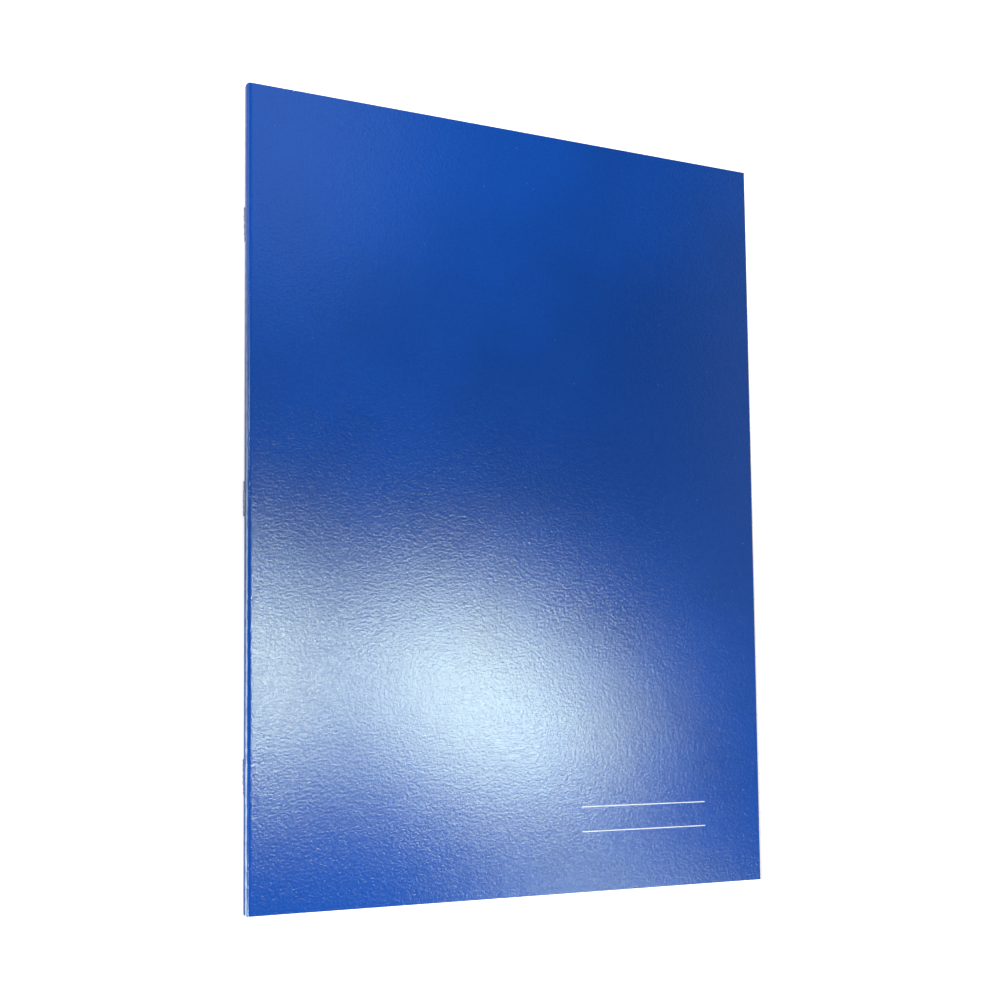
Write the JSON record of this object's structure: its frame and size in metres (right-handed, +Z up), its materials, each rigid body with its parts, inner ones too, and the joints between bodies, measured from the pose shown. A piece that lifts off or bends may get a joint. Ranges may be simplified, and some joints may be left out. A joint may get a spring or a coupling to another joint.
{
  "type": "notebook",
  "caption": "Thin portrait exercise book with a blue card cover, folded white sheets nested inside it and wire staples through the spine; it opens flat.",
  "frame": {"origin": "lowest centre of the closed book's box, on the underside of the back cover", "axes": "+X from the spine to the fore edge, +Y from tail to head, +Z up through the front cover"},
  "size_m": [0.2106, 0.297, 0.0049],
  "materials": {
    "cover_card": "satin coated card",
    "page_paper": "matt uncoated paper",
    "staple_wire": "bright wire"
  },
  "bodies": {
    "back_cover": {"back_cover": "cover_card"},
    "spine": {"cover_spine": "cover_card", "fold_01": "page_paper", "fold_02": "page_paper", "fold_03": "page_paper", "fold_04": "page_paper", "fold_05": "page_paper", "fold_06": "page_paper", "fold_07": "page_paper", "fold_08": "page_paper", "fold_09": "page_paper", "fold_10": "page_paper", "fold_11": "page_paper", "fold_12": "page_paper", "fold_13": "page_paper", "fold_14": "page_paper", "fold_15": "page_paper", "fold_16": "page_paper", "staple_top": "staple_wire", "staple_middle": "staple_wire", "staple_bottom": "staple_wire"},
    "leaf_01": {"leaf_01": "page_paper"},
    "leaf_02": {"leaf_02": "page_paper"},
    "leaf_03": {"leaf_03": "page_paper"},
    "leaf_04": {"leaf_04": "page_paper"},
    "leaf_05": {"leaf_05": "page_paper"},
    "leaf_06": {"leaf_06": "page_paper"},
    "leaf_07": {"leaf_07": "page_paper"},
    "leaf_08": {"leaf_08": "page_paper"},
    "leaf_09": {"leaf_09": "page_paper"},
    "leaf_10": {"leaf_10": "page_paper"},
    "leaf_11": {"leaf_11": "page_paper"},
    "leaf_12": {"leaf_12": "page_paper"},
    "leaf_13": {"leaf_13": "page_paper"},
    "leaf_14": {"leaf_14": "page_paper"},
    "leaf_15": {"leaf_15": "page_paper"},
    "leaf_16": {"leaf_16": "page_paper"},
    "leaf_17": {"leaf_17": "page_paper"},
    "leaf_18": {"leaf_18": "page_paper"},
    "leaf_19": {"leaf_19": "page_paper"},
    "leaf_20": {"leaf_20": "page_paper"},
    "leaf_21": {"leaf_21": "page_paper"},
    "leaf_22": {"leaf_22": "page_paper"},
    "leaf_23": {"leaf_23": "page_paper"},
    "leaf_24": {"leaf_24": "page_paper"},
    "leaf_25": {"leaf_25": "page_paper"},
    "leaf_26": {"leaf_26": "page_paper"},
    "leaf_27": {"leaf_27": "page_paper"},
    "leaf_28": {"leaf_28": "page_paper"},
    "leaf_29": {"leaf_29": "page_paper"},
    "leaf_30": {"leaf_30": "page_paper"},
    "leaf_31": {"leaf_31": "page_paper"},
    "leaf_32": {"leaf_32": "page_paper"},
    "front_cover": {"front_cover": "cover_card"}
  },
  "joints": [
    {"name": "book_opening", "type": "hinge", "parent": "back_cover", "child": "leaf_01", "pos_m": [-0.10225, 0, 0.00245], "axis": [0, -1, 0], "range_deg": [0, 180]},
    {"name": "spine_turn", "type": "hinge", "parent": "back_cover", "child": "spine", "pos_m": [-0.10225, 0, 0.00245], "axis": [0, -1, 0], "range_deg": [0, 90], "deforming": ["cover_spine", "fold_01", "fold_02", "fold_03", "fold_04", "fold_05", "fold_06", "fold_07", "fold_08", "fold_09", "fold_10", "fold_11", "fold_12", "fold_13", "fold_14", "fold_15", "fold_16"]},
    {"name": "leaf_02_turn", "type": "hinge", "parent": "back_cover", "child": "leaf_02", "pos_m": [-0.10225, 0, 0.00245], "axis": [0, -1, 0], "range_deg": [0, 178.8]},
    {"name": "leaf_03_turn", "type": "hinge", "parent": "back_cover", "child": "leaf_03", "pos_m": [-0.10225, 0, 0.00245], "axis": [0, -1, 0], "range_deg": [0, 177.6]},
    {"name": "leaf_04_turn", "type": "hinge", "parent": "back_cover", "child": "leaf_04", "pos_m": [-0.10225, 0, 0.00245], "axis": [0, -1, 0], "range_deg": [0, 176.4]},
    {"name": "leaf_05_turn", "type": "hinge", "parent": "back_cover", "child": "leaf_05", "pos_m": [-0.10225, 0, 0.00245], "axis": [0, -1, 0], "range_deg": [0, 175.2]},
    {"name": "leaf_06_turn", "type": "hinge", "parent": "back_cover", "child": "leaf_06", "pos_m": [-0.10225, 0, 0.00245], "axis": [0, -1, 0], "range_deg": [0, 174]},
    {"name": "leaf_07_turn", "type": "hinge", "parent": "back_cover", "child": "leaf_07", "pos_m": [-0.10225, 0, 0.00245], "axis": [0, -1, 0], "range_deg": [0, 172.8]},
    {"name": "leaf_08_turn", "type": "hinge", "parent": "back_cover", "child": "leaf_08", "pos_m": [-0.10225, 0, 0.00245], "axis": [0, -1, 0], "range_deg": [0, 171.6]},
    {"name": "leaf_09_turn", "type": "hinge", "parent": "back_cover", "child": "leaf_09", "pos_m": [-0.10225, 0, 0.00245], "axis": [0, -1, 0], "range_deg": [0, 170.4]},
    {"name": "leaf_10_turn", "type": "hinge", "parent": "back_cover", "child": "leaf_10", "pos_m": [-0.10225, 0, 0.00245], "axis": [0, -1, 0], "range_deg": [0, 169.2]},
    {"name": "leaf_11_turn", "type": "hinge", "parent": "back_cover", "child": "leaf_11", "pos_m": [-0.10225, 0, 0.00245], "axis": [0, -1, 0], "range_deg": [0, 168]},
    {"name": "leaf_12_turn", "type": "hinge", "parent": "back_cover", "child": "leaf_12", "pos_m": [-0.10225, 0, 0.00245], "axis": [0, -1, 0], "range_deg": [0, 166.8]},
    {"name": "leaf_13_turn", "type": "hinge", "parent": "back_cover", "child": "leaf_13", "pos_m": [-0.10225, 0, 0.00245], "axis": [0, -1, 0], "range_deg": [0, 165.6]},
    {"name": "leaf_14_turn", "type": "hinge", "parent": "back_cover", "child": "leaf_14", "pos_m": [-0.10225, 0, 0.00245], "axis": [0, -1, 0], "range_deg": [0, 164.4]},
    {"name": "leaf_15_turn", "type": "hinge", "parent": "back_cover", "child": "leaf_15", "pos_m": [-0.10225, 0, 0.00245], "axis": [0, -1, 0], "range_deg": [0, 163.2]},
    {"name": "leaf_16_turn", "type": "hinge", "parent": "back_cover", "child": "leaf_16", "pos_m": [-0.10225, 0, 0.00245], "axis": [0, -1, 0], "range_deg": [0, 162]},
    {"name": "leaf_17_turn", "type": "hinge", "parent": "back_cover", "child": "leaf_17", "pos_m": [-0.10225, 0, 0.00245], "axis": [0, -1, 0], "range_deg": [0, 18]},
    {"name": "leaf_18_turn", "type": "hinge", "parent": "back_cover", "child": "leaf_18", "pos_m": [-0.10225, 0, 0.00245], "axis": [0, -1, 0], "range_deg": [0, 16.88]},
    {"name": "leaf_19_turn", "type": "hinge", "parent": "back_cover", "child": "leaf_19", "pos_m": [-0.10225, 0, 0.00245], "axis": [0, -1, 0], "range_deg": [0, 15.75]},
    {"name": "leaf_20_turn", "type": "hinge", "parent": "back_cover", "child": "leaf_20", "pos_m": [-0.10225, 0, 0.00245], "axis": [0, -1, 0], "range_deg": [0, 14.62]},
    {"name": "leaf_21_turn", "type": "hinge", "parent": "back_cover", "child": "leaf_21", "pos_m": [-0.10225, 0, 0.00245], "axis": [0, -1, 0], "range_deg": [0, 13.5]},
    {"name": "leaf_22_turn", "type": "hinge", "parent": "back_cover", "child": "leaf_22", "pos_m": [-0.10225, 0, 0.00245], "axis": [0, -1, 0], "range_deg": [0, 12.38]},
    {"name": "leaf_23_turn", "type": "hinge", "parent": "back_cover", "child": "leaf_23", "pos_m": [-0.10225, 0, 0.00245], "axis": [0, -1, 0], "range_deg": [0, 11.25]},
    {"name": "leaf_24_turn", "type": "hinge", "parent": "back_cover", "child": "leaf_24", "pos_m": [-0.10225, 0, 0.00245], "axis": [0, -1, 0], "range_deg": [0, 10.12]},
    {"name": "leaf_25_turn", "type": "hinge", "parent": "back_cover", "child": "leaf_25", "pos_m": [-0.10225, 0, 0.00245], "axis": [0, -1, 0], "range_deg": [0, 9]},
    {"name": "leaf_26_turn", "type": "hinge", "parent": "back_cover", "child": "leaf_26", "pos_m": [-0.10225, 0, 0.00245], "axis": [0, -1, 0], "range_deg": [0, 7.88]},
    {"name": "leaf_27_turn", "type": "hinge", "parent": "back_cover", "child": "leaf_27", "pos_m": [-0.10225, 0, 0.00245], "axis": [0, -1, 0], "range_deg": [0, 6.75]},
    {"name": "leaf_28_turn", "type": "hinge", "parent": "back_cover", "child": "leaf_28", "pos_m": [-0.10225, 0, 0.00245], "axis": [0, -1, 0], "range_deg": [0, 5.62]},
    {"name": "leaf_29_turn", "type": "hinge", "parent": "back_cover", "child": "leaf_29", "pos_m": [-0.10225, 0, 0.00245], "axis": [0, -1, 0], "range_deg": [0, 4.5]},
    {"name": "leaf_30_turn", "type": "hinge", "parent": "back_cover", "child": "leaf_30", "pos_m": [-0.10225, 0, 0.00245], "axis": [0, -1, 0], "range_deg": [0, 3.38]},
    {"name": "leaf_31_turn", "type": "hinge", "parent": "back_cover", "child": "leaf_31", "pos_m": [-0.10225, 0, 0.00245], "axis": [0, -1, 0], "range_deg": [0, 2.25]},
    {"name": "leaf_32_turn", "type": "hinge", "parent": "back_cover", "child": "leaf_32", "pos_m": [-0.10225, 0, 0.00245], "axis": [0, -1, 0], "range_deg": [0, 1.12]},
    {"name": "front_cover_opening", "type": "hinge", "parent": "leaf_01", "child": "front_cover", "pos_m": [-0.10196, 0, 0.00524], "axis": [0, -1, 0], "range_deg": [0, 180]}
  ],
  "couplings": [
    {"joint": "spine_turn", "follows": "book_opening", "ratio": 0.5},
    {"joint": "leaf_02_turn", "follows": "book_opening", "ratio": 0.99333},
    {"joint": "leaf_03_turn", "follows": "book_opening", "ratio": 0.98667},
    {"joint": "leaf_04_turn", "follows": "book_opening", "ratio": 0.98},
    {"joint": "leaf_05_turn", "follows": "book_opening", "ratio": 0.97333},
    {"joint": "leaf_06_turn", "follows": "book_opening", "ratio": 0.96667},
    {"joint": "leaf_07_turn", "follows": "book_opening", "ratio": 0.96},
    {"joint": "leaf_08_turn", "follows": "book_opening", "ratio": 0.95333},
    {"joint": "leaf_09_turn", "follows": "book_opening", "ratio": 0.94667},
    {"joint": "leaf_10_turn", "follows": "book_opening", "ratio": 0.94},
    {"joint": "leaf_11_turn", "follows": "book_opening", "ratio": 0.93333},
    {"joint": "leaf_12_turn", "follows": "book_opening", "ratio": 0.92667},
    {"joint": "leaf_13_turn", "follows": "book_opening", "ratio": 0.92},
    {"joint": "leaf_14_turn", "follows": "book_opening", "ratio": 0.91333},
    {"joint": "leaf_15_turn", "follows": "book_opening", "ratio": 0.90667},
    {"joint": "leaf_16_turn", "follows": "book_opening", "ratio": 0.9},
    {"joint": "leaf_17_turn", "follows": "book_opening", "ratio": 0.1},
    {"joint": "leaf_18_turn", "follows": "book_opening", "ratio": 0.09375},
    {"joint": "leaf_19_turn", "follows": "book_opening", "ratio": 0.0875},
    {"joint": "leaf_20_turn", "follows": "book_opening", "ratio": 0.08125},
    {"joint": "leaf_21_turn", "follows": "book_opening", "ratio": 0.075},
    {"joint": "leaf_22_turn", "follows": "book_opening", "ratio": 0.06875},
    {"joint": "leaf_23_turn", "follows": "book_opening", "ratio": 0.0625},
    {"joint": "leaf_24_turn", "follows": "book_opening", "ratio": 0.05625},
    {"joint": "leaf_25_turn", "follows": "book_opening", "ratio": 0.05},
    {"joint": "leaf_26_turn", "follows": "book_opening", "ratio": 0.04375},
    {"joint": "leaf_27_turn", "follows": "book_opening", "ratio": 0.0375},
    {"joint": "leaf_28_turn", "follows": "book_opening", "ratio": 0.03125},
    {"joint": "leaf_29_turn", "follows": "book_opening", "ratio": 0.025},
    {"joint": "leaf_30_turn", "follows": "book_opening", "ratio": 0.01875},
    {"joint": "leaf_31_turn", "follows": "book_opening", "ratio": 0.0125},
    {"joint": "leaf_32_turn", "follows": "book_opening", "ratio": 0.00625}
  ]
}
